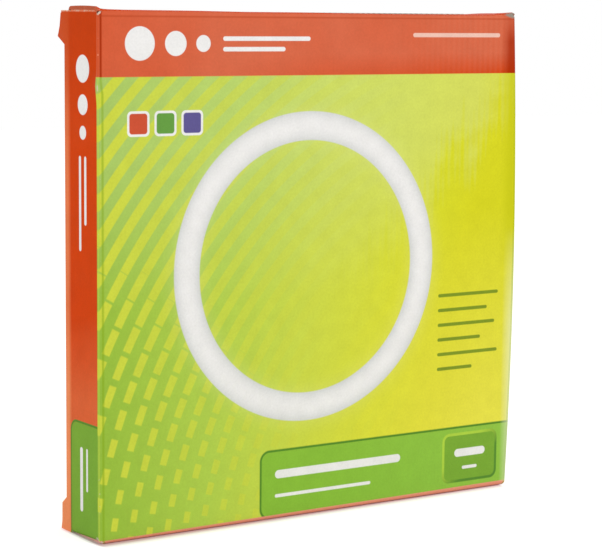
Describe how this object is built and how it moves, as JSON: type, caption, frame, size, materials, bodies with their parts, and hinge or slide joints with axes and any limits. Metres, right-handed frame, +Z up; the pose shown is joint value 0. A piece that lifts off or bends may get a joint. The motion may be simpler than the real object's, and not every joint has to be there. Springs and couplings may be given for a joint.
{
  "type": "ring lamp carton",
  "caption": "Printed tuck-end carton of thin corrugated board that holds a circular fluorescent lamp in a folded liner, closed by hinged flaps.",
  "frame": {"origin": "middle of the carton's width and nominal depth, on the plane that it stands on", "axes": "+Z up, -Y out of the front panel, +X along the front panel to its right-hand side"},
  "size_m": [0.2386, 0.0399, 0.2417],
  "materials": {
    "printed_board": "satin print, orange-red and yellow-green, on thin corrugated board",
    "printed_flap_top": "satin orange-red print",
    "printed_flap_bottom": "satin orange-red print",
    "plain_board": "plain brown board",
    "opal_glass": "opal white glass, coated inside",
    "white_plastic": "matt white moulding",
    "plate_plastic": "matt pale grey moulding",
    "pin_brass": "bright drawn"
  },
  "bodies": {
    "carton": {"carton_body": "printed_board", "inner_liner": "plain_board", "lamp_tube": "opal_glass", "lamp_base_front": "white_plastic", "lamp_base_back": "white_plastic", "lamp_contact_plate": "plate_plastic", "lamp_pins": "pin_brass"},
    "top_closure": {"top_flap": "printed_flap_top"},
    "bottom_closure": {"bottom_flap": "printed_flap_bottom"}
  },
  "joints": [
    {"name": "top_hinge", "type": "hinge", "parent": "carton", "child": "top_closure", "pos_m": [0, -0.0147, 0.24], "axis": [1, 0, 0], "range_deg": [0, 135]},
    {"name": "bottom_hinge", "type": "hinge", "parent": "carton", "child": "bottom_closure", "pos_m": [0, -0.0147, 0], "axis": [-1, 0, 0], "range_deg": [0, 135]}
  ]
}
